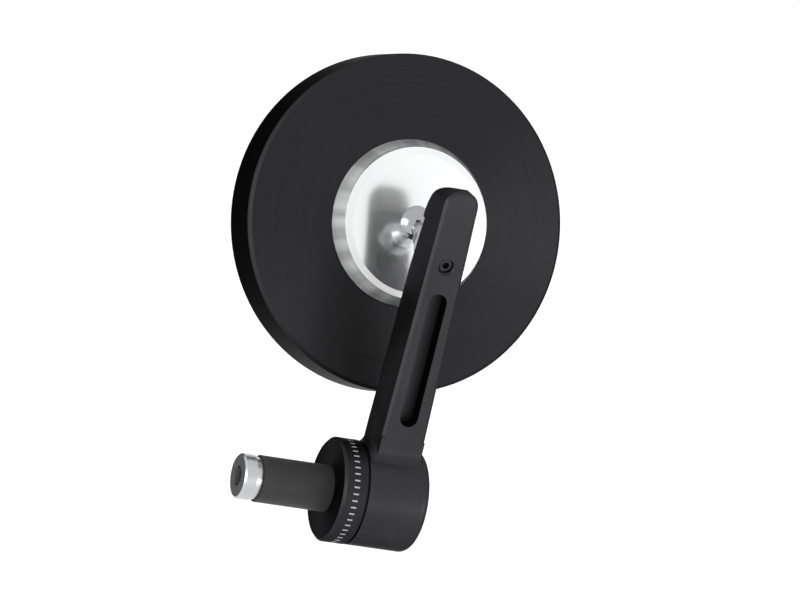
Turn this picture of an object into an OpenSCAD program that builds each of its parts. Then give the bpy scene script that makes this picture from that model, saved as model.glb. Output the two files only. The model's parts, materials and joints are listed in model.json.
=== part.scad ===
// Round bar end mirror: a turned head on a ball joint, a milled arm that turns about
// the handlebar's axis, and an expanding plug that grips the inside of the tube.
// +X runs outward along the handlebar, +Z up along the arm, -Y forward.
// The origin is on the tube's axis, in the plane where the collar meets the tube's end.

/* [Expanding plug] */
// Outside diameter of the rubber sleeve
plug_d = 14; // [12:0.5:18]
// Length of the rubber sleeve
plug_len = 22; // [18:1:35]
// Length of the sleeve's tapered mouth
plug_taper_len = 10; // [6:1:12]
// Length of the cone nut behind the sleeve's end
cone_tail = 6; // [4:0.5:10]

/* [Collar] */
// Outside diameter of the collar
collar_d = 31.2; // [29:0.2:36]
// Length of the collar along the bar
collar_len = 7.5; // [5:0.1:12]
// Chamfer of the collar's inner edge
collar_chamfer = 0.8; // [0.3:0.1:1.5]
// Thickness of the friction washer in the gap
gap_t = 0.5; // [0.2:0.05:0.8]
// How far the friction washer stays below the foot's surface
gap_depth = 0.9; // [0.4:0.1:2]

/* [Foot] */
// Outside diameter of the arm's round foot
foot_d = 31; // [28:0.5:36]
// Length of the foot along the bar
foot_len = 19.5; // [17:0.5:26]
// Rounding of the foot's outer edge
foot_round = 2.6; // [1:0.1:3.2]
// Diameter of the recess for the bolt's head
recess_d = 12.6; // [12:0.2:15]
// Depth of the recess for the bolt's head
recess_depth = 9.2; // [8.8:0.1:12]

/* [Foot bolt] */
// Diameter of the bolt's shank
bolt_d = 6; // [5:0.5:6]
// Diameter of the bolt's head
bolt_head_d = 10; // [9:0.5:11]
// Height of the bolt's head
bolt_head_h = 6; // [5:0.5:6.2]
// Width across flats of the bolt's socket
bolt_key = 5; // [4:0.5:5]
// Outside diameter of the washer and the spring under the head
washer_d = 12; // [10.5:0.5:12.4]
// Thickness of the washer
washer_t = 1; // [0.6:0.1:1.4]
// Free height of the disc spring
disc_h = 1.2; // [0.9:0.1:1.6]

/* [Arm] */
// Place of the arm's middle, from the foot's inner end
arm_inset = 9.3; // [8:0.1:10.5]
// Width of the arm at its root
arm_root_w = 13.6; // [11:0.1:15]
// Width of the arm at its tip
arm_tip_w = 10.6; // [9.5:0.1:12]
// Depth of the arm from front to back
arm_depth = 14.5; // [12:0.5:17]
// Height of the arm's tip above the bar's axis
arm_top = 97; // [90:1:130]
// Rounding of the tip as seen from the front
tip_round = 4.6; // [2:0.1:4.6]
// Rounding of the tip's rear edge
tip_back_round = 12; // [4:0.5:13]
// Height at which the arm starts to narrow
taper_start = 20; // [19:0.5:26]
// Rounding where the arm grows out of the foot
root_round = 5; // [2:0.5:7]
// Rounding at the arm's inboard root
side_round = 2.2; // [0.8:0.1:2.3]
// Chamfer of the arm's front edges
arm_chamfer = 0.8; // [0.3:0.1:1.2]

/* [Slot] */
// Width of the slot in the arm's front
slot_w = 5.6; // [3:0.1:7]
// Depth of the slot
slot_depth = 5; // [1:0.5:7]
// Height of the slot's lower end
slot_low = 24.2; // [22:0.1:35]
// Height of the slot's upper end
slot_high = 65.5; // [45:0.5:68]

/* [Ball stud] */
// Height at which the stud's axis crosses the arm's middle
stud_z = 74.7; // [74:0.1:84]
// Lean of the stud's axis up towards the head, in degrees
stud_lean = 5.5; // [2:0.5:8]
// Distance from the stud's seat on the arm to the ball's centre
stud_len = 20.2; // [19:0.1:30]
// Diameter of the ball
ball_d = 11; // [10.6:0.1:11.6]
// Diameter of the neck behind the ball
neck_d = 4.8; // [4:0.1:5.2]
// Length of the neck from the ball's centre
neck_len = 9.5; // [9:0.5:11.5]
// Diameter of the stud's body
body_d = 8; // [7:0.5:9]
// Width across the body's wrench flats
body_flats = 7; // [6:0.5:8]
// Diameter of the stud's threaded end
stud_thread_d = 6; // [5:0.5:6]
// Length of the stud's threaded end
stud_thread_len = 8.5; // [5:0.5:9]
// Diameter of the lock screw in the arm's front
lock_d = 4; // [3:0.5:5]
// Length of the lock screw
lock_len = 4; // [3:0.5:4.5]
// Countersink around the lock screw's hole
lock_sink = 0.45; // [0.2:0.05:0.8]

/* [Ball joint] */
// Tilt of the head's back up from the vertical, in degrees
head_tilt = 17; // [0:1:20]
// Turn of the head's back outward, in degrees
head_pan = 2; // [-10:1:10]
// Running clearance on each side of the ball's seats
slip = 0.05; // [0.03:0.01:0.08]
// Thickness of the ball's seats
seat_t = 0.5; // [0.4:0.05:0.7]
// Diameter of the hole that the ball looks out of
mouth_d = 10.4; // [10:0.1:10.5]
// Diameter of the bore that holds the plug and retainer
bore_d = 16.4; // [15.4:0.2:17.4]
// Floor of the pressure plug under the ball
plug_floor = 0.7; // [0.5:0.1:1.5]
// Free height of the plug's disc spring
plug_spring_h = 0.7; // [0.6:0.1:1.2]
// Thickness of the threaded retainer
retainer_h = 1.9; // [1.5:0.1:3]
// Width across flats of the retainer's socket
retainer_key = 8; // [6:0.5:9]

/* [Hub] */
// Diameter of the hub where it meets the housing
hub_base_d = 49.8; // [46:0.2:52]
// Diameter of the hub outside the face's bevel
hub_top_d = 45.4; // [43:0.2:46]
// Height of the hub
hub_h = 6; // [5:0.1:8]
// Diameter of the flat polished face
face_d = 41.6; // [38:0.2:42]
// Fall of the bevel around that face
bevel_fall = 0.5; // [0.2:0.1:1.2]
// Diameter of the hub's spigot
spigot_d = 22; // [20.4:0.2:24]
// Number of screws that hold the hub
hub_screws_n = 3; // [3:1:6]
// Distance of those screws from the hub's axis
hub_screws_r = 17.5; // [16.2:0.1:18]
// Depth of their threaded holes
hub_screws_depth = 3.6; // [2.5:0.1:3.8]

/* [Housing] */
// Outside diameter of the head
head_d = 101; // [94:1:120]
// Fall of the head's back from the hub to the edge
back_fall = 2; // [0:0.1:4]
// Diameter of the flat under the hub
flat_d = 51; // [49:0.5:56]
// Thickness of the head's back
back_t = 3.2; // [2.4:0.1:4]
// Length of the rim, from the back's edge to the front lip
rim_len = 15; // [13:0.5:20]
// Chamfer of the rim's rear edge
rim_chamfer = 1; // [0.4:0.1:1.8]
// Chamfer of the rim's front edge
lip_chamfer = 0.6; // [0.2:0.1:0.9]
// Width of the rim around the glass
rim_w = 2.2; // [1.6:0.1:4]
// Width of the ledge that the backing plate rests on
ledge_w = 2.6; // [1.5:0.1:4]
// How far the rim stands in front of the glass's edge
rim_guard = 0.4; // [0.1:0.1:1]

/* [Glass] */
// Thickness of the backing plate
plate_t = 1.5; // [1.5:0.1:2.5]
// Diameter of the plate's middle hole
plate_hole_d = 24; // [22:0.5:30]
// Number of screws that hold the plate
plate_screws_n = 3; // [3:1:6]
// Distance of those screws from the head's outside
plate_screws_inset = 12.5; // [11.5:0.5:16]
// Thickness of the adhesive pad at its edge
pad_t = 0.6; // [0.4:0.1:1.5]
// Thickness of the glass
glass_t = 2; // [1.5:0.1:3]
// Radius of the glass's bulge
glass_curve_r = 1200; // [800:50:2000]
// Gap around the glass
glass_gap = 0.4; // [0.2:0.1:1]

/* [Screws] */
// Diameter of the small screws
screw_d = 3; // [2.5:0.5:3]
// Head diameter of the hub's screws
screw_head_d = 5.5; // [5:0.5:6]
// Head height of the hub's screws
screw_head_h = 1.9; // [1.5:0.1:2.4]
// Length of the plate's screws
plate_screw_len = 5.5; // [4:0.5:6]

/* [Hidden] */
$fn = 96;
black_anodised = [0.13, 0.13, 0.14];
bright_metal = [0.86, 0.87, 0.88];
steel = [0.62, 0.63, 0.65];
dark_steel = [0.2, 0.2, 0.21];
rubber_black = [0.06, 0.06, 0.06];
acetal_white = [0.9, 0.9, 0.86];
eps = 0.01;
run_fit = 0.05;
thread_fit = 0.03;
blend_in = 0.03;
overlap = 0.3;

// Places along the bar
foot_x = collar_len + gap_t;
foot_end = foot_x + foot_len;
recess_floor = foot_end - recess_depth;
head_x = recess_floor + washer_t + disc_h;
arm_x = foot_x + arm_inset;
plug_r = plug_d / 2;
bolt_r = bolt_d / 2;
foot_r = foot_d / 2;
collar_r = collar_d / 2;
taper_x = -plug_len + plug_taper_len;
taper_small_r = bolt_r + 0.6;
taper_big_r = plug_r - 0.8;
taper_slope = (taper_big_r - taper_small_r) / plug_taper_len;
cone_lead = 1;
cone_tail_r = plug_r - 0.25;
bolt_end = -plug_len - cone_tail;

// Places along the stud, which runs to the rear from the arm's middle
front_y = -arm_depth / 2;
back_y = arm_depth / 2;
ball_r = ball_d / 2;
neck_r = neck_d / 2;
body_r = body_d / 2;
lock_r = lock_d / 2;
stud_thread_r = stud_thread_d / 2;
stud_washer_t = 0.8;
stud_flange_t = 1.6;
stud_flange_r = body_r + 1.4;
body_cone_len = 2.5;
seat_run = back_y - (stud_flange_r + 0.5) * sin(stud_lean);
ball_run = seat_run + stud_len;
lock_run = seat_run - stud_thread_len - 0.2;
ball_y = ball_run * cos(stud_lean);
ball_z = stud_z + ball_run * sin(stud_lean);

// Places along the hub's axis, from the ball's centre, towards the arm
seat_in_r = ball_r + slip;
seat_out_r = seat_in_r + seat_t;
pocket_r = seat_out_r + slip;
mouth_r = mouth_d / 2;
mouth_z = sqrt(pow(seat_in_r, 2) - pow(mouth_r, 2));
mouth_lip_t = 0.8;
groove_top = mouth_z - mouth_lip_t;
base_z = mouth_z - hub_h;
bore_r = bore_d / 2;
bore_top = -0.6;
plug_top = -1.2;
plug_bottom = -pocket_r - plug_floor;
retainer_top = plug_bottom - plug_spring_h;
spigot_end = retainer_top - retainer_h;
spigot_r = spigot_d / 2;
edge_z = base_z - back_fall;
floor_z = base_z - back_t;
lip_z = edge_z - rim_len;
glass_front = lip_z + rim_guard;
glass_back = glass_front + glass_t;
pad_z = glass_back + pad_t;
ledge_z = pad_z + plate_t;

// Radii of the head
head_r = head_d / 2;
glass_seat_r = head_r - rim_w;
glass_r = glass_seat_r - glass_gap;
ledge_r = glass_seat_r - ledge_w;
plate_screws_r = head_r - plate_screws_inset;
inner_corner = 1.4;
hub_boss_r = spigot_r + 2.9;
hub_boss_end = spigot_end + 0.5;
screw_r = screw_d / 2;
boss_r = screw_r + 2.1;
sink_r = screw_r + 1.35;

// Turns an axis along +X, with the part's own axis kept on the bar
module along_bar() {
    rotate([0, 90, 0]) children();
}

// Turns an axis along the stud towards the arm's front, starting at a distance behind the arm's middle
module along_stud(run) {
    translate([arm_x, 0, stud_z]) rotate([90 + stud_lean, 0, 0]) translate([0, 0, -run]) children();
}

// The head's own place: its axis points out of the hub, towards the arm
module head_place() {
    translate([arm_x, ball_y, ball_z]) rotate([90 - head_tilt, 0, head_pan]) children();
}

// Solid of revolution about the bar from an outline of [along the bar, radius]
module turned(outline) {
    along_bar() rotate_extrude() polygon([for (p = outline) [p[1], p[0]]]);
}

// Copies around the head's axis
module around_head(count, radius) {
    for (i = [0 : count - 1]) rotate([0, 0, 90 + 360 * i / count]) translate([radius, 0, 0]) children();
}

// Height of the bulged glass over its own edge, at a distance from the axis
function bulge(r) = sqrt(pow(glass_curve_r, 2) - pow(r, 2)) - sqrt(pow(glass_curve_r, 2) - pow(glass_r, 2));

// Points of the bulged surface, from the axis to a radius, measured from a base height
function bulge_points(base, radius, steps = 12) =
    [for (i = [0 : steps]) [radius * i / steps, base - bulge(radius * i / steps)]];

function reversed(list) = [for (i = [len(list) - 1 : -1 : 0]) list[i]];

module plug_sleeve() {
    color(rubber_black)
    turned([
        [0, bolt_r + 0.2], [0, plug_r], [-plug_len, plug_r],
        [-plug_len, taper_big_r], [taper_x, taper_small_r], [taper_x, bolt_r + 0.2]
    ]);
}

module cone_nut() {
    start_x = taper_x - cone_lead;
    start_r = taper_small_r + taper_slope * cone_lead - thread_fit;
    full_x = taper_x - (cone_tail_r - taper_small_r + thread_fit) / taper_slope;
    color(steel)
    turned([
        [start_x, bolt_r + thread_fit], [start_x, start_r], [full_x, cone_tail_r],
        [bolt_end + 0.5, cone_tail_r], [bolt_end, cone_tail_r - 0.5], [bolt_end, bolt_r + thread_fit]
    ]);
}

module collar_ring() {
    color(black_anodised)
    turned([
        [0, bolt_r + run_fit], [0, collar_r - collar_chamfer], [collar_chamfer, collar_r],
        [collar_len - 0.3, collar_r], [collar_len, collar_r - 0.3], [collar_len, bolt_r + run_fit]
    ]);
}

module friction_washer() {
    color(dark_steel)
    turned([
        [collar_len, bolt_r + run_fit], [collar_len, foot_r - gap_depth],
        [foot_x, foot_r - gap_depth], [foot_x, bolt_r + run_fit]
    ]);
}

module foot_washer() {
    color(steel)
    turned([
        [recess_floor, bolt_r + run_fit], [recess_floor, washer_d / 2],
        [recess_floor + washer_t, washer_d / 2], [recess_floor + washer_t, bolt_r + run_fit]
    ]);
}

module foot_spring() {
    inner = bolt_r + 0.3;
    outer = washer_d / 2 - 0.3;
    sheet = 0.6;
    low = recess_floor + washer_t;
    color(steel)
    turned([
        [low, outer], [low + sheet, outer], [low + disc_h, inner], [low + disc_h - sheet, inner]
    ]);
}

module foot_bolt() {
    color(dark_steel)
    difference() {
        turned([
            [bolt_end + 0.6, 0], [bolt_end + 0.6, bolt_r - 0.5], [bolt_end + 1.1, bolt_r],
            [head_x, bolt_r], [head_x, bolt_head_d / 2], [head_x + bolt_head_h - 0.4, bolt_head_d / 2],
            [head_x + bolt_head_h, bolt_head_d / 2 - 0.4], [head_x + bolt_head_h, 0]
        ]);
        translate([head_x + bolt_head_h / 2, 0, 0]) along_bar()
            cylinder(r = bolt_key / sqrt(3), h = bolt_head_h, $fn = 6);
    }
}

// Front outline of the arm, in X and Z
module arm_front_outline() {
    shoulder = arm_top - tip_round;
    polygon([
        [-arm_root_w / 2, 0], [arm_root_w / 2, 0], [arm_root_w / 2, taper_start],
        [arm_tip_w / 2, shoulder], [-arm_tip_w / 2, shoulder], [-arm_root_w / 2, taper_start]
    ]);
    for (side = [-1, 1]) translate([side * (arm_tip_w / 2 - tip_round), shoulder]) circle(tip_round);
    translate([tip_round - arm_tip_w / 2, shoulder - eps])
        square([arm_tip_w - 2 * tip_round, tip_round + eps]);
}

// Side outline of the arm, in Y and Z, with its rounded rear tip and its spread root
module arm_side_outline() {
    foot_in = foot_r - blend_in;
    root_c_z = sqrt(pow(foot_in + root_round, 2) - pow(back_y + root_round, 2));
    reach = (foot_in - 0.2) / (foot_in + root_round);
    translate([front_y, 0]) square([arm_depth, arm_top - tip_back_round]);
    translate([front_y, 0]) square([arm_depth - tip_back_round, arm_top]);
    translate([back_y - tip_back_round, arm_top - tip_back_round]) intersection() {
        circle(tip_back_round);
        square(tip_back_round);
    }
    for (side = [-1, 1]) difference() {
        polygon([
            [side * (back_y - 1), root_c_z], [side * (back_y + root_round), root_c_z],
            [side * (back_y + root_round) * reach, root_c_z * reach], [side * (back_y - 1), root_c_z * reach - 1]
        ]);
        translate([side * (back_y + root_round), root_c_z]) circle(root_round);
    }
}

// Extrudes an outline of Y and Z along the bar, about the arm's middle
module side_slab(width) {
    translate([arm_x, 0, 0]) rotate([90, 0, 90]) linear_extrude(width, center = true) children();
}

// Extrudes an outline of X and Z to the rear, from a given Y
module front_slab(y, depth) {
    translate([arm_x, y + depth, 0]) rotate([90, 0, 0]) linear_extrude(depth) children();
}

// Ring that fills the corner between the arm's inboard side and the foot
module side_root_ring() {
    side_x = arm_x - arm_root_w / 2;
    ring_r = foot_r - blend_in;
    along_bar() rotate_extrude() difference() {
        translate([ring_r - 1, side_x - side_round]) square([side_round + 1, side_round + 1]);
        translate([ring_r + side_round, side_x - side_round]) circle(side_round);
    }
}

// Wedge that cuts the chamfer of one long front edge, from one height to another
module edge_wedge(side, x_low, z_low, x_high, z_high) {
    lean = atan2(x_high - x_low, z_high - z_low);
    over = 1;
    c = arm_chamfer;
    translate([arm_x + x_low, front_y, z_low]) rotate([0, lean, 0])
        linear_extrude(norm([x_high - x_low, z_high - z_low]))
        polygon([[-side * (c + over), -over], [side * over, c + over], [side * over, -over]]);
}

// Ring-shaped cut that carries the chamfer round one corner of the tip
module tip_corner_cut(side) {
    c = arm_chamfer;
    translate([arm_x + side * (arm_tip_w / 2 - tip_round), front_y + c, arm_top - tip_round])
    rotate([90, 0, 0]) difference() {
        translate([side > 0 ? 0 : -tip_round - 1, 0, 0]) cube([tip_round + 1, tip_round + 1, c + 1]);
        translate([0, 0, -eps]) cylinder(r1 = tip_round + eps, r2 = tip_round - c - 1 - eps, h = c + 1 + 2 * eps);
    }
}

module arm_chamfers() {
    shoulder = arm_top - tip_round;
    for (side = [-1, 1]) {
        edge_wedge(side, side * arm_root_w / 2, foot_r + root_round, side * arm_root_w / 2, taper_start + overlap);
        edge_wedge(side, side * arm_root_w / 2, taper_start, side * arm_tip_w / 2, shoulder + overlap);
        tip_corner_cut(side);
    }
    translate([arm_x, front_y, arm_top]) rotate([90, 0, 90])
        linear_extrude(arm_tip_w - 2 * tip_round + 2 * overlap, center = true)
        polygon([[-1, -arm_chamfer - 1], [arm_chamfer + 1, 1], [-1, 1]]);
}

module foot_body() {
    along_bar() rotate_extrude() {
        translate([0, foot_x]) square([foot_r, foot_len - foot_round]);
        translate([0, foot_x]) square([foot_r - foot_round, foot_len]);
        translate([foot_r - foot_round, foot_end - foot_round]) circle(foot_round);
    }
}

module arm_blade() {
    intersection() {
        front_slab(front_y - root_round - 1, arm_depth + 2 * root_round + 2) arm_front_outline();
        side_slab(arm_root_w + 2) arm_side_outline();
    }
    intersection() {
        side_root_ring();
        side_slab(arm_root_w + 2 * side_round + 2) arm_side_outline();
    }
}

module arm_slot() {
    low = slot_low + slot_w / 2;
    high = slot_high - slot_w / 2;
    front_slab(front_y - 1, slot_depth + 1) {
        translate([-slot_w / 2, low]) square([slot_w, high - low]);
        for (z = [low, high]) translate([0, z]) circle(slot_w / 2);
    }
}

// Flat milled across the arm's back, square to the leaning stud
module stud_seat() {
    deep = 3;
    reach = stud_flange_r + 0.8;
    along_stud(seat_run + deep) translate([-arm_root_w / 2 - 1, -reach, 0])
        cube([arm_root_w + 2, 2 * reach + 3, deep]);
}

module arm() {
    color(black_anodised)
    difference() {
        union() {
            foot_body();
            difference() {
                arm_blade();
                arm_chamfers();
            }
        }
        arm_slot();
        stud_seat();
        translate([foot_x - 1, 0, 0]) along_bar() cylinder(r = bolt_r + run_fit, h = foot_len + 2);
        translate([recess_floor, 0, 0]) along_bar() cylinder(r = recess_d / 2, h = recess_depth + 1);
        along_stud(seat_run + 1) cylinder(r = stud_thread_r + thread_fit, h = stud_thread_len + 1);
        along_stud(seat_run) cylinder(r = lock_r + thread_fit, h = arm_depth + 1);
        along_stud(front_y + lock_sink)
            cylinder(r1 = lock_r + thread_fit, r2 = lock_r + lock_sink + 0.8, h = lock_sink + 0.8);
    }
}

module ball_stud() {
    neck_start = ball_r - 1;
    body_start = neck_len + body_cone_len;
    flange_end = stud_len - stud_washer_t;
    flange_start = flange_end - stud_flange_t;
    flats_len = flange_start - body_start - 0.5;
    color(bright_metal)
    along_stud(ball_run) difference() {
        union() {
            sphere(ball_r);
            translate([0, 0, neck_start]) cylinder(r = neck_r, h = neck_len - neck_start);
            translate([0, 0, neck_len]) cylinder(r1 = neck_r, r2 = body_r, h = body_cone_len);
            translate([0, 0, body_start]) cylinder(r = body_r, h = flange_start - body_start);
            translate([0, 0, flange_start]) cylinder(r = stud_flange_r, h = stud_flange_t);
            translate([0, 0, flange_end]) cylinder(r = stud_thread_r, h = stud_thread_len + stud_washer_t);
        }
        for (side = [-1, 1])
            translate([side * (body_flats / 2 + body_d), 0, flange_start - flats_len / 2])
            cube([2 * body_d, 2 * body_d, flats_len], center = true);
    }
}

module stud_washer() {
    color(steel)
    along_stud(seat_run + stud_washer_t) difference() {
        cylinder(r = stud_flange_r, h = stud_washer_t);
        translate([0, 0, -1]) cylinder(r = stud_thread_r + run_fit, h = stud_washer_t + 2);
    }
}

module lock_screw() {
    color(dark_steel)
    along_stud(lock_run) difference() {
        cylinder(r = lock_r, h = lock_len);
        translate([0, 0, lock_len - 2]) cylinder(r = lock_r / 2 / cos(30), h = 3, $fn = 6);
    }
}

// Lower seat: a zone of a spherical shell
module seat_cup() {
    cup_low = -seat_out_r * 0.89;
    cup_high = -seat_out_r * 0.53;
    color(acetal_white)
    head_place() difference() {
        sphere(seat_out_r);
        sphere(seat_in_r);
        translate([0, 0, cup_high + ball_d]) cube(2 * ball_d, center = true);
        translate([0, 0, cup_low - ball_d]) cube(2 * ball_d, center = true);
    }
}

// Upper seat: straight outside, in the hub's groove, and spherical inside
module seat_ring() {
    ring_low = bore_top + slip;
    color(acetal_white)
    head_place() difference() {
        translate([0, 0, ring_low]) cylinder(r = seat_out_r, h = groove_top - slip - ring_low);
        sphere(seat_in_r);
    }
}

module pressure_plug() {
    color(steel)
    head_place() difference() {
        translate([0, 0, plug_bottom]) cylinder(r = bore_r - run_fit, h = plug_top - plug_bottom);
        sphere(pocket_r);
    }
}

module socket_spring() {
    inner = bore_r * 0.5;
    outer = bore_r - 0.4;
    sheet = 0.4;
    color(steel)
    head_place() rotate_extrude() polygon([
        [inner, plug_bottom], [inner, plug_bottom - sheet], [outer, retainer_top], [outer, retainer_top + sheet]
    ]);
}

module socket_retainer() {
    color(steel)
    head_place() difference() {
        translate([0, 0, spigot_end]) cylinder(r = bore_r - thread_fit, h = retainer_h);
        translate([0, 0, spigot_end - 1]) cylinder(r = retainer_key / sqrt(3), h = retainer_h + 2, $fn = 6);
    }
}

module hub() {
    bevel_z = mouth_z - bevel_fall;
    color(bright_metal)
    head_place() difference() {
        rotate_extrude() polygon([
            [0, spigot_end], [spigot_r, spigot_end], [spigot_r, base_z], [hub_base_d / 2, base_z],
            [hub_base_d / 2, base_z + 0.5], [hub_top_d / 2 + 0.1, bevel_z - 0.2], [hub_top_d / 2, bevel_z],
            [face_d / 2, mouth_z], [0, mouth_z]
        ]);
        sphere(seat_in_r);
        translate([0, 0, bore_top - 1]) cylinder(r = pocket_r, h = groove_top - bore_top + 1);
        translate([0, 0, spigot_end - 1]) cylinder(r = bore_r, h = bore_top - spigot_end + 1);
        around_head(hub_screws_n, hub_screws_r)
            translate([0, 0, base_z - 1]) cylinder(r = screw_r + thread_fit, h = hub_screws_depth + 1);
    }
}

module hub_screws() {
    length = back_t + hub_screws_depth - 0.4;
    color(dark_steel)
    head_place() around_head(hub_screws_n, hub_screws_r) difference() {
        union() {
            translate([0, 0, floor_z - eps]) cylinder(r = screw_r, h = length + eps);
            translate([0, 0, floor_z - screw_head_h]) cylinder(r = screw_head_d / 2, h = screw_head_h);
        }
        translate([0, 0, floor_z - screw_head_h - 1]) cylinder(r = screw_r * 0.67 / cos(30), h = 2.2, $fn = 6);
    }
}

module housing() {
    flat_r = flat_d / 2;
    inner_fall = back_fall * 0.8;
    color(black_anodised)
    head_place() difference() {
        union() {
            rotate_extrude() polygon([
                [spigot_r + thread_fit, base_z], [flat_r, base_z], [head_r - rim_chamfer, edge_z],
                [head_r, edge_z - rim_chamfer], [head_r, lip_z + lip_chamfer], [head_r - lip_chamfer, lip_z],
                [glass_seat_r, lip_z], [glass_seat_r, ledge_z], [ledge_r, ledge_z],
                [ledge_r, floor_z - inner_fall - inner_corner], [ledge_r - inner_corner, floor_z - inner_fall],
                [flat_r - 1, floor_z], [hub_boss_r, floor_z], [hub_boss_r, hub_boss_end],
                [spigot_r + thread_fit, hub_boss_end]
            ]);
            around_head(plate_screws_n, plate_screws_r)
                translate([0, 0, ledge_z]) cylinder(r = boss_r, h = floor_z - inner_fall - ledge_z + 1);
        }
        around_head(hub_screws_n, hub_screws_r)
            translate([0, 0, floor_z - 1]) cylinder(r = screw_r + 0.1, h = back_t + 2);
        around_head(plate_screws_n, plate_screws_r)
            translate([0, 0, ledge_z - 1]) cylinder(r = screw_r + thread_fit, h = plate_screw_len + 1.3 - plate_t);
    }
}

module backing_plate() {
    color(steel)
    head_place() difference() {
        translate([0, 0, pad_z]) cylinder(r = glass_r, h = plate_t);
        translate([0, 0, pad_z - 1]) cylinder(r = plate_hole_d / 2, h = plate_t + 2);
        around_head(plate_screws_n, plate_screws_r) {
            translate([0, 0, pad_z - 1]) cylinder(r = screw_r + 0.1, h = plate_t + 2);
            translate([0, 0, pad_z - eps])
                cylinder(r1 = sink_r + 0.1 + eps, r2 = screw_r + 0.1, h = sink_r - screw_r + eps);
        }
    }
}

module plate_screws() {
    rise = sink_r - screw_r;
    color(dark_steel)
    head_place() around_head(plate_screws_n, plate_screws_r) translate([0, 0, pad_z + 0.05]) difference() {
        union() {
            cylinder(r1 = sink_r, r2 = screw_r, h = rise);
            cylinder(r = screw_r, h = plate_screw_len);
        }
        translate([0, 0, -1]) cylinder(r = screw_r * 0.67 / cos(30), h = 1.9, $fn = 6);
    }
}

module adhesive_pad() {
    color(rubber_black)
    head_place() rotate_extrude()
        polygon(concat([[0, pad_z], [glass_r, pad_z]], reversed(bulge_points(glass_back, glass_r))));
}

module mirror_glass() {
    color(bright_metal)
    head_place() rotate_extrude()
        polygon(concat(bulge_points(glass_front, glass_r), reversed(bulge_points(glass_back, glass_r))));
}

plug_sleeve();
cone_nut();
collar_ring();
friction_washer();
foot_bolt();
foot_washer();
foot_spring();
arm();
ball_stud();
stud_washer();
lock_screw();
seat_cup();
seat_ring();
pressure_plug();
socket_spring();
socket_retainer();
hub();
hub_screws();
housing();
backing_plate();
plate_screws();
adhesive_pad();
mirror_glass();
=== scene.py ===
"""Looks of a round bar end mirror: a black turned head, a polished hub, a milled arm and its bar end."""

import json
import math

import bpy
from bpy.props import FloatProperty, FloatVectorProperty, IntProperty, PointerProperty
from mathutils import Matrix, Vector


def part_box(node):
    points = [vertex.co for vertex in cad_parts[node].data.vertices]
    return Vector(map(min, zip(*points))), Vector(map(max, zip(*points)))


bl_info = {
    "name": "Round bar end mirror",
    "version": (1, 0, 0),
    "blender": (4, 5, 0),
    "location": "3D View > Sidebar > Mirror",
    "description": "Finishes and lights a round bar end mirror around its fixed solids",
    "category": "Object",
}

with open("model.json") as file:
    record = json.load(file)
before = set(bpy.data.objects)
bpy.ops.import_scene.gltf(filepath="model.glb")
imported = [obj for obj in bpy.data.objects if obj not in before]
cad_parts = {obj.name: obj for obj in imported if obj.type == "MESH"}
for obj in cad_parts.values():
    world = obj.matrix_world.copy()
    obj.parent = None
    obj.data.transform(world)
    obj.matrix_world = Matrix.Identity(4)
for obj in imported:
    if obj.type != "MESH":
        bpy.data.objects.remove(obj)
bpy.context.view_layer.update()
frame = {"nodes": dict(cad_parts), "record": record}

JOINTS = {joint["name"]: joint for joint in frame["record"]["behaviour"]["joints"]}
BALL_CENTRE = Vector(JOINTS["head_spin"]["pos_m"])
HEAD_AXIS = Vector(JOINTS["head_spin"]["axis"]).normalized()
BAR_CENTRE = Vector((0.0, 0.0, 0.0))
BAR_AXIS = Vector((1.0, 0.0, 0.0))
STUD_AXIS = Vector((0.0, 1.0, 0.0))
MM = 0.001
PHOTO_ASPECT = 800 / 600

WHITE = (1.0, 1.0, 1.0, 1.0)
MARK_WHITE = (0.62, 0.62, 0.64, 1.0)
FLOOR_SHADES = ((0.84, 0.84, 0.84, 1.0), (0.88, 0.88, 0.88, 1.0))
STUDIO_DARK = (0.04, 0.04, 0.042, 1.0)

# Soft materials: colour, roughness, scale of the grain and its depth.
SOFT_MATERIALS = {
    "foam_tape": ((0.03, 0.03, 0.03), 0.85, 1800.0, 0.02 * MM),
    "white_acetal": ((0.8, 0.8, 0.75), 0.4, 1500.0, 0.002 * MM),
    "dark_plastic": ((0.02, 0.02, 0.022), 0.5, 2500.0, 0.003 * MM),
    "black_rubber": ((0.025, 0.025, 0.026), 0.62, 1600.0, 0.02 * MM),
}

# Plain metals: colour and roughness.
PLAIN_METALS = {
    "sheet_aluminium": ((0.6, 0.61, 0.62), 0.35),
    "bright_zinc": ((0.55, 0.56, 0.57), 0.3),
    "plated_steel": ((0.55, 0.56, 0.57), 0.3),
    "black_oxide": ((0.05, 0.05, 0.055), 0.38),
}

# Bands at the edges of the turned faces, which tell one face of a piece from the next.
# RIM_EDGE sets where the rim's painted shade begins, just inside the head's widest radius.
RIM_EDGE = 0.3 * MM
GLASS_EDGE = 0.6 * MM
FACE_BAND = 0.05 * MM
BEVEL_BAND = 0.6 * MM
FACE_DEPTH = 0.1 * MM

# Most of a noise lies between these two, and the sum of two noises between the next two.
NOISE_LOW, NOISE_HIGH = 0.3, 0.7
SUM_LOW, SUM_HIGH = 0.7, 1.3

# Share of the way along the axis in the tool's travel, so that walls show rings as faces do.
TRAVEL_SHARE = 0.83

# The haze thickens between these two levels of the hub's face, by these shares of its setting.
HAZE_LEVELS = (-12.0 * MM, 8.0 * MM)
HAZE_SHARES = (0.1, 1.2)
HAZE_BLUR = 0.42

# Part of a noise over which the painted reflection stripes of the hub's wall come up, and their
# lightness.
PAINTED_STRIPE_LOW, PAINTED_STRIPE_HIGH = 0.4, 0.65
PAINTED_STRIPE_SHADE = 0.68

# Direction of the studio's dark side, and the cosines between which it sets in.
DARK_SIDE = Vector((-0.25, 0.95, 0.0)).normalized()
DARK_FROM, DARK_TO = 0.78, 0.93
DARK_RAGGED = 0.2

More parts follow.
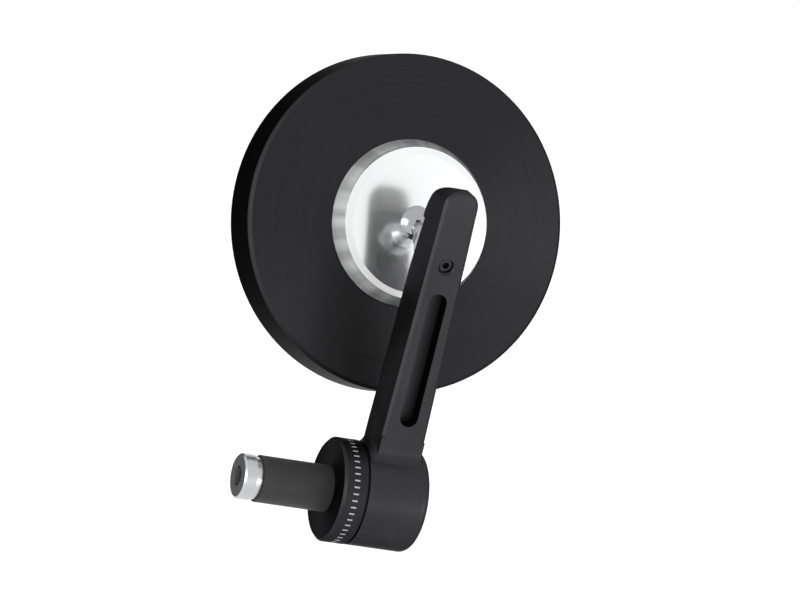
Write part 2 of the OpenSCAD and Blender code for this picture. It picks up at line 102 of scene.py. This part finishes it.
# Lamps: direction by the camera's right, up and back, distance, size and share of the key power.
LAMPS = {
    "key": ((-0.8, 0.1, 0.5), 1.6, 0.9, 1.0),
    "fill": ((0.79, -0.5, 0.4), 1.8, 0.8, 1.5),
    "rim": ((0.5, 0.8, -0.8), 1.6, 0.6, 0.5),
}

# Places of the Mix node's factor, its two inputs and its result, whose names repeat.
MIX_SOCKETS = {"RGBA": (0, 6, 7, 2), "VECTOR": (0, 4, 5, 1)}


class BlackFinish(bpy.types.PropertyGroup):
    """Black anodised aluminium."""

    colour: FloatVectorProperty(
        name="Colour",
        description="Colour of the dyed aluminium",
        subtype="COLOR",
        size=3,
        min=0.0,
        max=1.0,
        default=(0.029, 0.029, 0.031),
    )
    roughness: FloatProperty(
        name="Roughness",
        description="Blur of the reflections across the turning marks",
        default=0.42,
        min=0.0,
        max=1.0,
    )
    mark_depth: FloatProperty(
        name="Mark depth",
        description="Depth of the turning and milling marks",
        unit="LENGTH",
        default=0.012 * MM,
        min=0.0,
    )
    edge: FloatVectorProperty(
        name="Edge",
        description="Strength of the reflections at a grazing angle",
        subtype="COLOR",
        size=3,
        min=0.0,
        max=1.0,
        default=(0.43, 0.43, 0.43),
    )
    milled_shade: FloatProperty(
        name="Milled shade",
        description="Lightness of the milled arm beside the turned head",
        default=1.35,
        min=0.0,
        max=4.0,
    )
    # Painted shade: this factor darkens the rim's colour in place of the dark surroundings that the
    # housing's side reflects.
    rim_painted_shade: FloatProperty(
        name="Rim shade",
        description="Lightness of the rim beside the rest of the head",
        default=0.85,
        min=0.0,
        max=1.0,
    )


class BrightFinish(bpy.types.PropertyGroup):
    """Polished aluminium and steel."""

    colour: FloatVectorProperty(
        name="Colour",
        description="Colour of the polished aluminium",
        subtype="COLOR",
        size=3,
        min=0.0,
        max=1.0,
        default=(0.955, 0.96, 0.965),
    )
    roughness: FloatProperty(
        name="Roughness",
        description="Blur of the reflections in the polished face",
        default=0.14,
        min=0.0,
        max=1.0,
    )
    haze: FloatProperty(
        name="Haze",
        description="Share of the polished face that is finely scratched",
        default=0.3,
        min=0.0,
        max=1.0,
    )
    side_roughness: FloatProperty(
        name="Side roughness",
        description="Blur of the reflections on the turned side",
        default=0.62,
        min=0.0,
        max=1.0,
    )
    face_bulge: FloatProperty(
        name="Face bulge",
        description="Radius of the polished face's faint bulge",
        unit="LENGTH",
        default=0.3,
        min=0.05,
    )
    face_lean: FloatProperty(
        name="Face lean",
        description="Lean of the reflections in the polished face",
        subtype="ANGLE",
        default=math.radians(3.0),
    )
    mark_depth: FloatProperty(
        name="Mark depth",
        description="Depth of the fine turning marks",
        unit="LENGTH",
        default=0.003 * MM,
        min=0.0,
    )


class GlassFinish(bpy.types.PropertyGroup):
    """Silvered glass."""

    tint: FloatVectorProperty(
        name="Tint",
        description="Tint of the silvered glass",
        subtype="COLOR",
        size=3,
        min=0.0,
        max=1.0,
        default=(0.84, 0.88, 0.92),
    )
    bulge: FloatProperty(
        name="Bulge",
        description="Radius of the glass's bulge",
        unit="LENGTH",
        default=1.2,
        min=0.1,
    )
    dust: FloatProperty(
        name="Dust",
        description="Blur that fine dust adds to the reflection",
        default=0.05,
        min=0.0,
        max=1.0,
    )


class RingMarks(bpy.types.PropertyGroup):
    """White marks round the collar ring."""

    count: IntProperty(
        name="Count",
        description="Number of marks round the ring",
        default=48,
        min=1,
    )
    width: FloatProperty(
        name="Width",
        description="Width of one mark as a share of its step",
        default=0.22,
        min=0.0,
        max=1.0,
    )
    low: FloatProperty(
        name="Low",
        description="Inner edge of the marks as a share of the ring's length",
        default=0.40,
        min=0.0,
        max=1.0,
    )
    high: FloatProperty(
        name="High",
        description="Outer edge of the marks as a share of the ring's length",
        default=0.62,
        min=0.0,
        max=1.0,
    )


class StageSettings(bpy.types.PropertyGroup):
    """Camera, floor and lamps."""

    azimuth: FloatProperty(
        name="Azimuth",
        description="Direction that the camera stands in",
        subtype="ANGLE",
        default=math.radians(-21.4),
    )
    elevation: FloatProperty(
        name="Elevation",
        description="Height of the camera over the horizon",
        subtype="ANGLE",
        default=math.radians(13.3),
    )
    roll: FloatProperty(
        name="Roll",
        description="Lean of the camera about its own line of sight",
        subtype="ANGLE",
        default=math.radians(14.0),
    )
    aim: FloatVectorProperty(
        name="Aim",
        description="Point that the camera looks at",
        subtype="TRANSLATION",
        unit="LENGTH",
        size=3,
        default=(0.0166, 0.0212, 0.0548),
    )
    distance: FloatProperty(
        name="Distance",
        description="Distance from the camera to its aim",
        unit="LENGTH",
        default=2.5,
    )
    frame_height: FloatProperty(
        name="Frame height",
        description="Height of the view at the object",
        unit="LENGTH",
        default=0.178,
    )
    floor_drop: FloatProperty(
        name="Floor drop",
        description="Distance of the floor below the handlebar's axis",
        unit="LENGTH",
        default=0.20,
    )
    floor_glow: FloatProperty(
        name="Floor glow",
        description="White that the floor adds where it is seen",
        default=0.45,
    )
    key_power: FloatProperty(
        name="Key power",
        description="Power of the main lamp",
        unit="POWER",
        default=9.0,
    )
    sky: FloatProperty(
        name="Sky",
        description="Brightness of the surroundings",
        default=0.62,
    )


class ShaderBench:
    """Adds and links the nodes of one tree."""

    def __init__(self, tree):
        self.tree = tree

    def add(self, kind, **settings):
        """A new node with its settings."""
        node = self.tree.nodes.new(kind)
        for key, value in settings.items():
            setattr(node, key, value)
        return node

    def feed(self, socket, value):
        """Links a socket or sets a value on an input."""
        if isinstance(value, bpy.types.NodeSocket):
            self.tree.links.new(value, socket)
        else:
            socket.default_value = value

    def feed_all(self, sockets, values):
        """Feeds the first sockets in order."""
        for socket, value in zip(sockets, values, strict=False):
            self.feed(socket, value)

    def math(self, operation, *values):
        """A Math node over numbers or sockets."""
        node = self.add("ShaderNodeMath", operation=operation)
        self.feed_all(node.inputs, values)
        return node.outputs["Value"]

    def plus(self, first, second):
        """The sum of two numbers."""
        return self.math("ADD", first, second)

    def times(self, first, second):
        """The product of two numbers."""
        return self.math("MULTIPLY", first, second)

    def vector(self, operation, *values):
        """A Vector Math node; its number result for a length or a dot product, else its vector."""
        node = self.add("ShaderNodeVectorMath", operation=operation)
        self.feed_all(node.inputs, values)
        number = operation in {"LENGTH", "DOT_PRODUCT"}
        return node.outputs["Value" if number else "Vector"]

    def place(self):
        """The point's place on the piece at rest."""
        return self.add("ShaderNodeTexCoord").outputs["Object"]

    def to_world(self, kind, vector):
        """A direction or normal of the piece turned into the world's, with a length of 1."""
        node = self.add(
            "ShaderNodeVectorTransform", vector_type=kind, convert_from="OBJECT", convert_to="WORLD"
        )
        self.feed(node.inputs["Vector"], vector)
        return self.vector("NORMALIZE", node.outputs["Vector"])

    def noise(self, scale, detail, vector=None, along=None):
        """Noise over the piece, over a vector, or along one number."""
        node = self.add("ShaderNodeTexNoise", noise_dimensions="1D" if along is not None else "3D")
        self.feed(node.inputs["Scale"], scale)
        self.feed(node.inputs["Detail"], detail)
        if along is not None:
            self.feed(node.inputs["W"], along)
        else:
            self.feed(node.inputs["Vector"], vector or self.place())
        return node.outputs["Fac"]

    def remap(self, value, low, high, to_low, to_high):
        """A number mapped from one range to another."""
        node = self.add("ShaderNodeMapRange")
        self.feed_all(node.inputs, (value, low, high, to_low, to_high))
        return node.outputs["Result"]

    def spread(self, noise):
        """The usual range of a noise drawn out to the whole of 0 to 1."""
        return self.remap(noise, NOISE_LOW, NOISE_HIGH, 0.0, 1.0)

    def vary(self, value, noise, low, high):
        """A number times a factor that follows a noise from low to high."""
        return self.remap(noise, NOISE_LOW, NOISE_HIGH, value * low, value * high)

    def mix(self, kind, share, first, second):
        """Two colours or vectors mixed by a share."""
        node = self.add("ShaderNodeMix", data_type=kind)
        factor, one, other, result = MIX_SOCKETS[kind]
        self.feed(node.inputs[factor], share)
        self.feed(node.inputs[one], first)
        self.feed(node.inputs[other], second)
        return node.outputs[result]

    def blend(self, share, first, second):
        """Two colours mixed by a share."""
        return self.mix("RGBA", share, first, second)

    def shades(self, share, colour, low, high):
        """A colour whose lightness goes from low to high by a share."""
        return self.blend(share, rgba(colour, low), rgba(colour, high))


class MaterialBench(ShaderBench):
    """A new material with one shader on its output."""

    def __init__(self, name):
        self.material = bpy.data.materials.new(name)
        self.material.use_nodes = True
        super().__init__(self.material.node_tree)
        self.tree.nodes.clear()
        self.shader = self.add("ShaderNodeBsdfPrincipled")
        self.output = self.add("ShaderNodeOutputMaterial")
        self.tree.links.new(self.shader.outputs["BSDF"], self.output.inputs["Surface"])

    def feed_shader(self, name, value):
        """Feeds one input of the shader."""
        self.feed(self.shader.inputs[name], value)

    def surface(self, colour, roughness, metallic=1.0):
        """Feeds the shader's main inputs."""
        self.feed_shader("Base Color", colour)
        self.feed_shader("Roughness", roughness)
        self.feed_shader("Metallic", metallic)

    def turning(self, strength, direction):
        """Stretches the reflections across the marks of the lathe."""
        self.feed_shader("Anisotropic", strength)
        self.feed_shader("Tangent", direction)

    def bump(self, height, depth):
        """A bump of the given height map, which runs from 0 to 1, and depth in metres."""
        node = self.add("ShaderNodeBump")
        self.feed(node.inputs["Height"], height)
        self.feed(node.inputs["Distance"], depth)
        self.feed(node.inputs["Strength"], 1.0)
        self.feed_shader("Normal", node.outputs["Normal"])
        return node


def rgba(colour, shade=1.0):
    """A colour with its alpha, lighter or darker."""
    return (colour[0] * shade, colour[1] * shade, colour[2] * shade, 1.0)


def around_axis(bench, centre, axis):
    """A point's offset, its vector round the axis, and its distances from the axis and along it."""
    offset = bench.vector("SUBTRACT", bench.place(), tuple(centre))
    across = bench.vector("CROSS_PRODUCT", tuple(axis), offset)
    radius = bench.vector("LENGTH", across)
    along = bench.vector("DOT_PRODUCT", offset, tuple(axis))
    return offset, across, radius, along


def tool_travel(bench, radius, along):
    """How far the lathe's tool has come, on a face or on a wall."""
    return bench.plus(radius, bench.times(along, TRAVEL_SHARE))


def turned_black(name, finish, centre, axis, anisotropic=0.75, shaded_rim_radius=None):
    """Black anodised metal with the fine rings of the lathe, and painted shade on its rim where it has
    one.
    """
    bench = MaterialBench(name)
    _, across, radius, along = around_axis(bench, centre, axis)
    travel = tool_travel(bench, radius, along)
    fine = bench.noise(scale=9000.0, detail=3.0, along=travel)
    broad = bench.noise(scale=900.0, detail=2.0, along=travel)
    cloud = bench.noise(scale=35.0, detail=3.0)
    rings = bench.plus(bench.times(fine, 0.5), bench.times(broad, 0.5))
    tone = bench.remap(bench.plus(rings, bench.times(cloud, 0.5)), 0.35, 1.1, 0.0, 1.0)
    colour = bench.shades(tone, finish.colour, 0.8, 1.2)
    # Painted shade: the housing's side is darkened in its colour in place of the dark surroundings that
    # it reflects.
    if shaded_rim_radius:
        on_shaded_rim = bench.math("GREATER_THAN", radius, shaded_rim_radius)
        colour = bench.blend(on_shaded_rim, colour, rgba(finish.colour, finish.rim_painted_shade))
    bench.surface(colour, bench.vary(finish.roughness, rings, 0.85, 1.15))
    bench.feed_shader("Specular Tint", rgba(finish.edge))
    bench.turning(anisotropic, bench.to_world("VECTOR", across))
    bench.bump(rings, finish.mark_depth)
    return bench


def milled_black(name, finish):
    """Black anodised metal with the soft grain of a milled and blasted surface."""
    bench = MaterialBench(name)
    grain = bench.noise(scale=2600.0, detail=3.0)
    cloud = bench.noise(scale=60.0, detail=3.0)
    tone = bench.remap(bench.plus(grain, cloud), SUM_LOW, SUM_HIGH, 0.0, 1.0)
    colour = Vector(finish.colour) * finish.milled_shade
    bench.surface(bench.shades(tone, colour, 0.85, 1.2), bench.vary(finish.roughness, cloud, 0.9, 1.1))
    bench.feed_shader("Specular Tint", rgba(finish.edge))
    bench.bump(grain, finish.mark_depth * 0.5)
    return bench


def polish_blur(bench, fine, roughness):
    """Roughness of a polish, which its fine marks and faint smears vary."""
    smear = bench.noise(scale=120.0, detail=3.0)
    return bench.remap(bench.plus(fine, smear), SUM_LOW, SUM_HIGH, roughness * 0.8, roughness * 1.25)


def polished(name, colour, roughness, depth, centre, axis, anisotropic):
    """Bright metal, turned and then polished."""
    bench = MaterialBench(name)
    _, across, radius, along = around_axis(bench, centre, axis)
    fine = bench.noise(scale=7000.0, detail=3.0, along=tool_travel(bench, radius, along))
    bench.surface(bench.shades(fine, colour, 0.97, 1.0), polish_blur(bench, fine, roughness))
    bench.turning(anisotropic, bench.to_world("VECTOR", across))
    bench.bump(fine, depth)
    return bench


def face_blur(bench, bright, fine, level):
    """Roughness of the hub's face, with specks of haze that thicken towards its top."""
    speckle = bench.spread(bench.noise(scale=30000.0, detail=0.0))
    low, high = (bright.haze * share for share in HAZE_SHARES)
    hazy = bench.math("LESS_THAN", speckle, bench.remap(level, *HAZE_LEVELS, low, high))
    return bench.plus(polish_blur(bench, fine, bright.roughness), bench.times(hazy, HAZE_BLUR))


def face_form(bench, bright, radius, level):
    """Height of the bulge and lean that only the face's reflections show, in depths of its marks."""
    lean = bench.times(level, math.tan(bright.face_lean))
    bulge = bench.times(bench.times(radius, radius), 0.5 / bright.face_bulge)
    return bench.times(bench.math("SUBTRACT", lean, bulge), 1.0 / bright.mark_depth)


def hub_finish(name, bright, centre, axis, face_radius, wall_radius, face_height):
    """Bright aluminium with a mirror-polished face and a turned side that carries painted reflection
    stripes.
    """
    bench = MaterialBench(name)
    offset, across, radius, along = around_axis(bench, centre, axis)
    travel = tool_travel(bench, radius, along)
    fine = bench.noise(scale=7000.0, detail=3.0, along=travel)
    broad = bench.noise(scale=1400.0, detail=2.0, along=travel)
    # Noise round the axis for the wall's painted reflection stripes.
    stripe_noise = bench.noise(scale=5.0, detail=1.5, vector=bench.vector("NORMALIZE", across))
    rise = Vector((0.0, axis.z, -axis.y)).normalized()
    level = bench.vector("DOT_PRODUCT", offset, tuple(rise))

    on_top = bench.math("GREATER_THAN", along, face_height - FACE_DEPTH)
    on_face = bench.times(bench.math("LESS_THAN", radius, face_radius), on_top)
    on_side = bench.math("SUBTRACT", 1.0, on_face)
    on_wall = bench.math("GREATER_THAN", radius, wall_radius)

    # Painted reflection: dark stripes painted into the wall's colour stand in for the light and dark
    # bands it reflects.
    painted_stripes = bench.times(on_wall, bench.remap(stripe_noise, PAINTED_STRIPE_LOW, PAINTED_STRIPE_HIGH, 0.0, 1.0))
    polish = face_blur(bench, bright, fine, level)
    turned = bench.vary(bright.side_roughness, broad, 0.8, 1.2)
    roughness = bench.plus(bench.times(on_face, polish), bench.times(on_side, turned))
    bench.surface(bench.shades(painted_stripes, bright.colour, 1.0, PAINTED_STRIPE_SHADE), roughness)
    bench.turning(0.6, bench.to_world("VECTOR", across))

    fine_marks = bench.times(fine, bench.remap(on_face, 0.0, 1.0, 0.5, 0.12))
    broad_marks = bench.times(bench.times(broad, on_side), 0.5)
    form = bench.times(face_form(bench, bright, radius, level), on_face)
    bench.bump(bench.plus(bench.plus(fine_marks, broad_marks), form), bright.mark_depth)
    return bench


def plain_metal(name):
    """Plated or plain metal of the small hardware."""
    colour, roughness = PLAIN_METALS[name]
    bench = MaterialBench(name)
    grain = bench.noise(scale=3500.0, detail=3.0)
    bench.surface(bench.shades(grain, colour, 0.85, 1.1), bench.vary(roughness, grain, 0.8, 1.2))
    bench.bump(grain, 0.004 * MM)
    return bench


def soft_material(name):
    """Rubber, plastic or foam with a fine grain."""
    colour, roughness, grain_scale, depth = SOFT_MATERIALS[name]
    bench = MaterialBench(name)
    grain = bench.noise(scale=grain_scale, detail=4.0)
    cloud = bench.spread(bench.noise(scale=80.0, detail=2.0))
    bench.surface(
        bench.shades(cloud, colour, 0.8, 1.2), bench.vary(roughness, grain, 0.9, 1.1), metallic=0.0
    )
    bench.bump(grain, depth)
    return bench


def silvered_glass(name, finish, centre, axis, front, edge_radius):
    """Mirror glass with a trace of dust; up to its edge it reflects as the true sphere of its bulge."""
    bench = MaterialBench(name)
    _, _, radius, _ = around_axis(bench, centre, axis)
    dust = bench.noise(scale=900.0, detail=5.0)
    smear = bench.noise(scale=14.0, detail=3.0)
    blur = bench.remap(bench.times(dust, smear), 0.2, 0.45, 0.005, finish.dust)
    bench.surface(bench.shades(smear, finish.tint, 0.98, 1.0), blur)
    bulge_centre = centre + axis * (front + finish.bulge)
    outward = bench.vector("SUBTRACT", bench.place(), tuple(bulge_centre))
    sphere = bench.to_world("NORMAL", outward)
    facet = bench.add("ShaderNodeNewGeometry").outputs["Normal"]
    on_edge = bench.math("GREATER_THAN", radius, edge_radius)
    bump = bench.bump(smear, 0.001 * MM)
    bench.feed(bump.inputs["Normal"], bench.mix("VECTOR", on_edge, sphere, facet))
    return bench


def marked_ring(name, finish, marks, low, high):
    """The collar's black ring with a band of plain white marks round it."""
    bench = turned_black(name, finish, BAR_CENTRE, BAR_AXIS, anisotropic=0.5)
    split = bench.add("ShaderNodeSeparateXYZ")
    bench.feed(split.inputs["Vector"], bench.place())
    angle = bench.math("ARCTAN2", split.outputs["Z"], split.outputs["Y"])
    step = bench.math("FRACT", bench.times(angle, marks.count / math.tau))
    tick = bench.math("LESS_THAN", step, marks.width)
    past_low = bench.math("GREATER_THAN", split.outputs["X"], low)
    before_high = bench.math("LESS_THAN", split.outputs["X"], high)
    white = bench.times(tick, bench.times(past_low, before_high))
    black = bench.shader.inputs["Base Color"].links[0].from_socket
    bench.feed_shader("Base Color", bench.blend(white, black, MARK_WHITE))
    bench.feed_shader("Metallic", bench.math("SUBTRACT", 1.0, white))
    return bench


def dress(node, bench):
    """Gives a CAD node the bench's material."""
    materials = frame["nodes"][node].data.materials
    materials.clear()
    materials.append(bench.material)


def head_corners(node):
    """Each corner's height along the head's axis and its distance from it, from the ball's centre."""
    corners = [corner.co - BALL_CENTRE for corner in frame["nodes"][node].data.vertices]
    return [(corner.dot(HEAD_AXIS), corner.cross(HEAD_AXIS).length) for corner in corners]


def widest(corners, above=-math.inf):
    """The largest distance from the head's axis over the corners above a height."""
    return max(radius for height, radius in corners if height > above)


class MIRROR_OT_head(bpy.types.Operator):
    """Finishes the round head: its housing, its glass and what holds the glass"""

    bl_idname = "mirror.head"
    bl_label = "Finish the head"

    def execute(self, context):
        black = context.scene.mirror_black
        # The rim's painted shade starts just inside the housing's widest radius.
        shaded_rim_radius = widest(head_corners("housing")) - RIM_EDGE
        head = turned_black("black_turned_head", black, BALL_CENTRE, HEAD_AXIS, shaded_rim_radius=shaded_rim_radius)
        dress("housing", head)
        corners = head_corners("mirror_glass")
        place = (BALL_CENTRE, HEAD_AXIS, min(corners)[0], widest(corners) - GLASS_EDGE)
        dress("mirror_glass", silvered_glass("silvered_glass", context.scene.mirror_glass, *place))
        dress("adhesive_pad", soft_material("foam_tape"))
        dress("backing_plate", plain_metal("sheet_aluminium"))
        return {"FINISHED"}


class MIRROR_OT_hub(bpy.types.Operator):
    """Finishes the bright hub and the ball stud"""

    bl_idname = "mirror.hub"
    bl_label = "Finish the hub"

    def execute(self, context):
        corners = head_corners("hub")
        height = max(corners)[0]
        face_radius = widest(corners, above=height - FACE_BAND)
        wall_radius = widest(corners, above=height - BEVEL_BAND)
        place = (BALL_CENTRE, HEAD_AXIS, face_radius, wall_radius, height)
        dress("hub", hub_finish("bright_turned_hub", context.scene.mirror_bright, *place))
        stud = polished(
            "turned_stud",
            colour=(0.4, 0.41, 0.42),
            roughness=0.15,
            depth=0.002 * MM,
            centre=BALL_CENTRE,
            axis=STUD_AXIS,
            anisotropic=0.2,
        )
        dress("ball_stud", stud)
        return {"FINISHED"}


class MIRROR_OT_socket(bpy.types.Operator):
    """Finishes the hidden seats, plug, spring and retainer of the ball joint"""

    bl_idname = "mirror.socket"
    bl_label = "Finish the socket"

    def execute(self, context):
        acetal = soft_material("white_acetal")
        zinc = plain_metal("bright_zinc")
        for node in ("seat_cup", "seat_ring"):
            dress(node, acetal)
        for node in ("pressure_plug", "socket_spring", "socket_retainer", "stud_washer"):
            dress(node, zinc)
        return {"FINISHED"}


class MIRROR_OT_arm(bpy.types.Operator):
    """Finishes the milled arm"""

    bl_idname = "mirror.arm"
    bl_label = "Finish the arm"

    def execute(self, context):
        dress("arm", milled_black("black_milled_arm", context.scene.mirror_black))
        return {"FINISHED"}


class MIRROR_OT_bar_end(bpy.types.Operator):
    """Finishes the collar ring and what goes into the handlebar"""

    bl_idname = "mirror.bar_end"
    bl_label = "Finish the bar end"

    def execute(self, context):
        black = context.scene.mirror_black
        marks = context.scene.mirror_marks
        low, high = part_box("collar_ring")
        length = high.x - low.x
        band = (low.x + length * marks.low, low.x + length * marks.high)
        dress("collar_ring", marked_ring("black_marked_ring", black, marks, *band))
        dress("friction_washer", soft_material("dark_plastic"))
        dress("plug_sleeve", soft_material("black_rubber"))
        zinc = plain_metal("plated_steel")
        for node in ("cone_nut", "foot_washer", "foot_spring"):
            dress(node, zinc)
        return {"FINISHED"}


class MIRROR_OT_screws(bpy.types.Operator):
    """Finishes the bolt and the screws"""

    bl_idname = "mirror.screws"
    bl_label = "Finish the screws"

    def execute(self, context):
        oxide = plain_metal("black_oxide")
        for node in ("foot_bolt", "lock_screw", "hub_screws", "plate_screws"):
            dress(node, oxide)
        return {"FINISHED"}


def seen_directly(bench):
    """1 where the camera or a reflection looks, else 0; and the same for reflections alone."""
    path = bench.add("ShaderNodeLightPath").outputs
    reflected = bench.math("MAXIMUM", path["Is Glossy Ray"], path["Is Transmission Ray"])
    return bench.math("MAXIMUM", path["Is Camera Ray"], reflected), reflected


def dark_share(bench, direction):
    """How far a direction lies in the studio's dark side, from 0 to 1, with ragged edges."""
    noise = bench.noise(scale=2.2, detail=1.0, vector=direction)
    ragged = bench.times(bench.math("SUBTRACT", noise, 0.5), DARK_RAGGED)
    turned = bench.vector("DOT_PRODUCT", direction, tuple(DARK_SIDE))
    share = bench.add("ShaderNodeMapRange", interpolation_type="SMOOTHSTEP")
    bench.feed_all(share.inputs, (bench.plus(turned, ragged), DARK_FROM, DARK_TO))
    return share.outputs["Result"]


def make_world(sky):
    """A white studio, dark on one side, which only reflections show."""
    world = bpy.data.worlds.new("studio")
    bpy.context.scene.world = world
    world.use_nodes = True
    bench = ShaderBench(world.node_tree)
    background = bench.tree.nodes["Background"]
    direction = bench.add("ShaderNodeTexCoord").outputs["Generated"]
    seen, reflected = seen_directly(bench)
    dark = bench.times(reflected, dark_share(bench, direction))
    bench.feed(background.inputs["Color"], bench.blend(dark, WHITE, STUDIO_DARK))
    bench.feed(background.inputs["Strength"], bench.remap(seen, 0.0, 1.0, sky, 1.0))


def make_floor(drop, glow):
    """A wide white floor that is seen only from above and keeps the object's shadow."""
    half_width = 6.0
    mesh = bpy.data.meshes.new("floor")
    sides = ((-1, -1), (1, -1), (1, 1), (-1, 1))
    corners = [(x * half_width, y * half_width, -drop) for x, y in sides]
    mesh.from_pydata(corners, [], [(0, 1, 2, 3)])
    floor = bpy.data.objects.new("floor", mesh)
    bpy.context.scene.collection.objects.link(floor)

    bench = MaterialBench("pale_floor")
    mottle = bench.noise(scale=6.0, detail=2.0)
    seen, reflected = seen_directly(bench)
    direction = bench.vector("NORMALIZE", bench.place())
    dark = bench.times(reflected, dark_share(bench, direction))
    pale = bench.blend(mottle, *FLOOR_SHADES)
    bench.surface(bench.blend(dark, pale, STUDIO_DARK), roughness=0.9, metallic=0.0)
    bench.feed_shader("Specular IOR Level", 0.1)
    bench.feed_shader("Emission Color", WHITE)
    lit = bench.times(seen, bench.math("SUBTRACT", 1.0, dark))
    bench.feed_shader("Emission Strength", bench.times(lit, glow))

    clear = bench.add("ShaderNodeBsdfTransparent")
    under = bench.add("ShaderNodeNewGeometry").outputs["Backfacing"]
    pick = bench.add("ShaderNodeMixShader")
    bench.feed_all(pick.inputs, (under, bench.shader.outputs["BSDF"], clear.outputs["BSDF"]))
    bench.feed(bench.output.inputs["Surface"], pick.outputs["Shader"])
    mesh.materials.append(bench.material)


def make_lamp(name, aim, direction, distance, size, power):
    """A square soft lamp that looks at the object from one direction."""
    data = bpy.data.lights.new(name, "AREA")
    data.shape = "SQUARE"
    data.size = size
    data.energy = power
    lamp = bpy.data.objects.new(name, data)
    bpy.context.scene.collection.objects.link(lamp)
    direction = direction.normalized()
    lamp.location = aim + direction * distance
    lamp.rotation_mode = "QUATERNION"
    lamp.rotation_quaternion = direction.to_track_quat("Z", "Y")


def make_camera(stage, axes):
    """The camera, with its own right, up and backward directions."""
    right, up, back = axes
    data = bpy.data.cameras.new("camera")
    data.sensor_width = 36.0
    data.lens = data.sensor_width * stage.distance / (stage.frame_height * PHOTO_ASPECT)
    data.clip_start = 0.01
    data.clip_end = 50.0
    camera = bpy.data.objects.new("camera", data)
    bpy.context.scene.collection.objects.link(camera)
    camera.matrix_world = Matrix((right, up, back)).transposed().to_4x4()
    camera.location = Vector(stage.aim) + back * stage.distance
    bpy.context.scene.camera = camera


def camera_axes(stage):
    """Right, up and backward directions of the camera."""
    azimuth, elevation, roll = stage.azimuth, stage.elevation, stage.roll
    back = Vector(
        (
            math.sin(azimuth) * math.cos(elevation),
            -math.cos(azimuth) * math.cos(elevation),
            math.sin(elevation),
        )
    )
    level = Vector((math.cos(azimuth), math.sin(azimuth), 0.0))
    upright = back.cross(level)
    right = level * math.cos(roll) + upright * math.sin(roll)
    return right, back.cross(right), back


class MIRROR_OT_stage(bpy.types.Operator):
    """Makes the camera, the floor, the surroundings and the lamps"""

    bl_idname = "mirror.stage"
    bl_label = "Make the stage"

    def execute(self, context):
        stage = context.scene.mirror_stage
        right, up, back = camera_axes(stage)
        make_camera(stage, (right, up, back))
        make_world(stage.sky)
        make_floor(stage.floor_drop, stage.floor_glow)
        for name, ((to_right, to_top, to_back), distance, size, share) in LAMPS.items():
            direction = right * to_right + up * to_top + back * to_back
            make_lamp(name, Vector(stage.aim), direction, distance, size, stage.key_power * share)
        context.scene.view_settings.view_transform = "Standard"
        return {"FINISHED"}


class MIRROR_PT_panel(bpy.types.Panel):
    """Lists the finishes and the stage"""

    bl_idname = "MIRROR_PT_panel"
    bl_label = "Round bar end mirror"
    bl_space_type = "VIEW_3D"
    bl_region_type = "UI"
    bl_category = "Mirror"

    def draw(self, context):
        for group, label in (
            (context.scene.mirror_black, "Black aluminium"),
            (context.scene.mirror_bright, "Bright aluminium"),
            (context.scene.mirror_glass, "Glass"),
            (context.scene.mirror_marks, "Ring marks"),
            (context.scene.mirror_stage, "Stage"),
        ):
            box = self.layout.box()
            box.label(text=label)
            for name in group.__annotations__:
                box.prop(group, name)
        for operator in OPERATORS:
            self.layout.operator(operator.bl_idname)


GROUPS = {
    "mirror_black": BlackFinish,
    "mirror_bright": BrightFinish,
    "mirror_glass": GlassFinish,
    "mirror_marks": RingMarks,
    "mirror_stage": StageSettings,
}
OPERATORS = (
    MIRROR_OT_head,
    MIRROR_OT_hub,
    MIRROR_OT_socket,
    MIRROR_OT_arm,
    MIRROR_OT_bar_end,
    MIRROR_OT_screws,
    MIRROR_OT_stage,
)


def register():
    """Adds the settings, the operators and the panel."""
    for cls in (*GROUPS.values(), *OPERATORS, MIRROR_PT_panel):
        bpy.utils.register_class(cls)
    for name, cls in GROUPS.items():
        setattr(bpy.types.Scene, name, PointerProperty(type=cls))


def unregister():
    """Takes them away again."""
    for name in GROUPS:
        delattr(bpy.types.Scene, name)
    for cls in (MIRROR_PT_panel, *reversed(OPERATORS), *reversed(GROUPS.values())):
        bpy.utils.unregister_class(cls)


def main():
    """Builds the looks."""
    register()
    bpy.ops.mirror.head()
    bpy.ops.mirror.hub()
    bpy.ops.mirror.socket()
    bpy.ops.mirror.arm()
    bpy.ops.mirror.bar_end()
    bpy.ops.mirror.screws()
    bpy.ops.mirror.stage()


if __name__ == "__main__":
    main()
